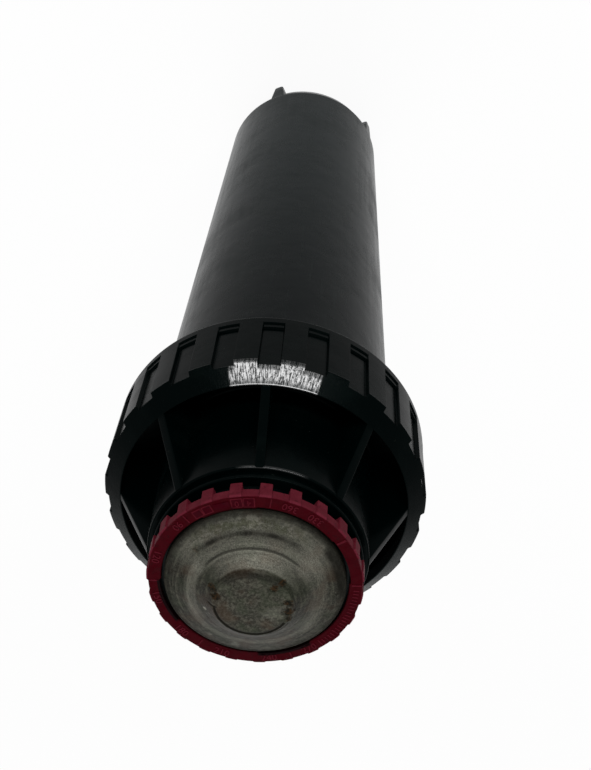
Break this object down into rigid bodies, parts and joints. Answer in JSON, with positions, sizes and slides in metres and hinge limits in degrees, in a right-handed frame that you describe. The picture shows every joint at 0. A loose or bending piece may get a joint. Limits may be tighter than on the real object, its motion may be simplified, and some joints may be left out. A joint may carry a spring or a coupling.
{
  "type": "pop up sprinkler",
  "caption": "gear driven pop-up sprinkler with a tapered case, flared ribbed cap, castellated arc ring and domed metal cover",
  "frame": {"origin": "centre of the end face of the inlet boss, on which the sprinkler stands", "axes": "+Z is the sprinkler's axis, the way the riser pops up; +X runs along one of the cap's gussets"},
  "size_m": [0.09, 0.0898, 0.2724],
  "materials": {
    "black_plastic": "moulded black plastic, dusty and slightly green-grey",
    "grey_plastic": "moulded dark grey plastic",
    "white_plastic": "natural white acetal",
    "rubber": "black rubber",
    "spring_steel": "stainless spring steel",
    "stainless": "weathered stamped stainless, stained brown-grey",
    "red_plastic": "dark red moulded plastic"
  },
  "bodies": {
    "case": {"case_shell": "black_plastic", "cap": "black_plastic", "cap_gasket": "rubber", "wiper_seal": "rubber", "seal_retainer": "grey_plastic", "retraction_spring": "spring_steel"},
    "riser": {"riser_tube": "black_plastic", "riser_foot": "grey_plastic", "inlet_screen": "grey_plastic", "stator": "white_plastic", "gear_case": "grey_plastic", "gear_case_lid": "grey_plastic", "shaft_seal": "rubber", "lay_pin": "spring_steel"},
    "turbine": {"turbine": "white_plastic", "turbine_shaft": "spring_steel", "drive_pinion": "white_plastic"},
    "gear_one": {"gear_one": "white_plastic"},
    "gear_two": {"gear_two": "white_plastic"},
    "gear_three": {"gear_three": "white_plastic"},
    "head": {"output_gear": "white_plastic", "output_shaft": "spring_steel", "turret": "black_plastic", "turret_seal": "rubber", "distributor": "black_plastic", "turret_screw": "spring_steel", "cover": "stainless"},
    "arc_ring": {"arc_ring": "red_plastic"}
  },
  "joints": [
    {"name": "riser_slide", "type": "slide", "parent": "case", "child": "riser", "axis": [0, 0, 1], "range_m": [0, 0.1], "stiffness_N_per_m": 120, "springref_m": -0.08, "deforming": ["retraction_spring"]},
    {"name": "head_turn", "type": "hinge", "parent": "riser", "child": "head", "pos_m": [0, 0, 0.255], "axis": [0, 0, 1], "continuous": true},
    {"name": "arc_ring_turn", "type": "hinge", "parent": "head", "child": "arc_ring", "pos_m": [0, 0, 0.26], "axis": [0, 0, 1], "range_deg": [0, 315]},
    {"name": "gear_three_turn", "type": "hinge", "parent": "riser", "child": "gear_three", "pos_m": [0.0072, 0, 0.22], "axis": [0, 0, 1], "continuous": true},
    {"name": "gear_two_turn", "type": "hinge", "parent": "riser", "child": "gear_two", "pos_m": [0, 0, 0.218], "axis": [0, 0, 1], "continuous": true},
    {"name": "gear_one_turn", "type": "hinge", "parent": "riser", "child": "gear_one", "pos_m": [0.0072, 0, 0.213], "axis": [0, 0, 1], "continuous": true},
    {"name": "turbine_turn", "type": "hinge", "parent": "riser", "child": "turbine", "pos_m": [0, 0, 0.196], "axis": [0, 0, 1], "continuous": true}
  ],
  "couplings": [
    {"joint": "gear_three_turn", "follows": "head_turn", "ratio": -2},
    {"joint": "gear_two_turn", "follows": "head_turn", "ratio": 4},
    {"joint": "gear_one_turn", "follows": "head_turn", "ratio": -8},
    {"joint": "turbine_turn", "follows": "head_turn", "ratio": 16}
  ]
}
